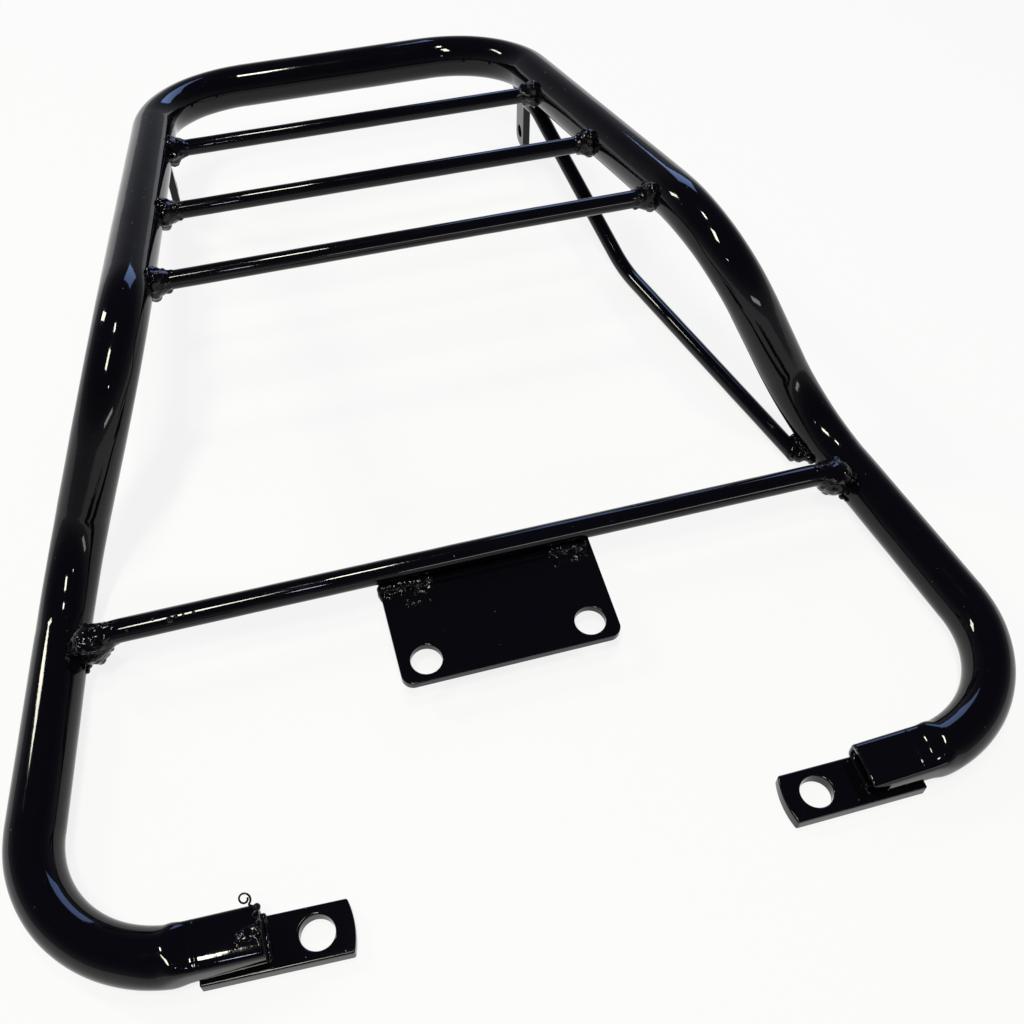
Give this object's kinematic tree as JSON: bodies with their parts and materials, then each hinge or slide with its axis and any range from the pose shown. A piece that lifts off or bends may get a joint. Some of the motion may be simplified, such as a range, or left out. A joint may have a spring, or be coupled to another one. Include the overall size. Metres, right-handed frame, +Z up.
{
  "type": "motorcycle luggage rack",
  "caption": "Bent steel tube luggage rack for a motorcycle, with platform rods, a drilled cross plate, flat front straps, hanging rear tabs and one low side brace.",
  "frame": {"origin": "centre of the bounding box in plan, on the surface the rack lies on", "axes": "+X across the rack to the braced side, +Y toward the rear hoop, +Z up from the surface it lies on"},
  "size_m": [0.4034, 0.4764, 0.1057],
  "materials": {
    "bar": "gloss",
    "brace": "gloss",
    "plate": "gloss",
    "rod": "gloss",
    "strap": "gloss",
    "tab": "gloss",
    "tube": "gloss",
    "weld": "gloss"
  },
  "bodies": {
    "root": {"main_tube": "tube", "rear_rod": "rod", "middle_rod": "rod", "front_rod": "rod", "cross_bar": "bar", "centre_plate": "plate", "left_strap": "strap", "right_strap": "strap", "side_brace": "brace", "left_rear_tab": "tab", "right_rear_tab": "tab", "rear_rod_left_weld": "weld", "rear_rod_right_weld": "weld", "middle_rod_left_weld": "weld", "middle_rod_right_weld": "weld", "front_rod_left_weld": "weld", "front_rod_right_weld": "weld", "cross_bar_left_weld": "weld", "cross_bar_right_weld": "weld", "plate_left_weld": "weld", "plate_right_weld": "weld", "strap_left_weld": "weld", "strap_right_weld": "weld", "brace_rear_weld": "weld", "brace_front_weld": "weld", "tab_left_weld": "weld", "tab_right_weld": "weld"}
  },
  "joints": []
}
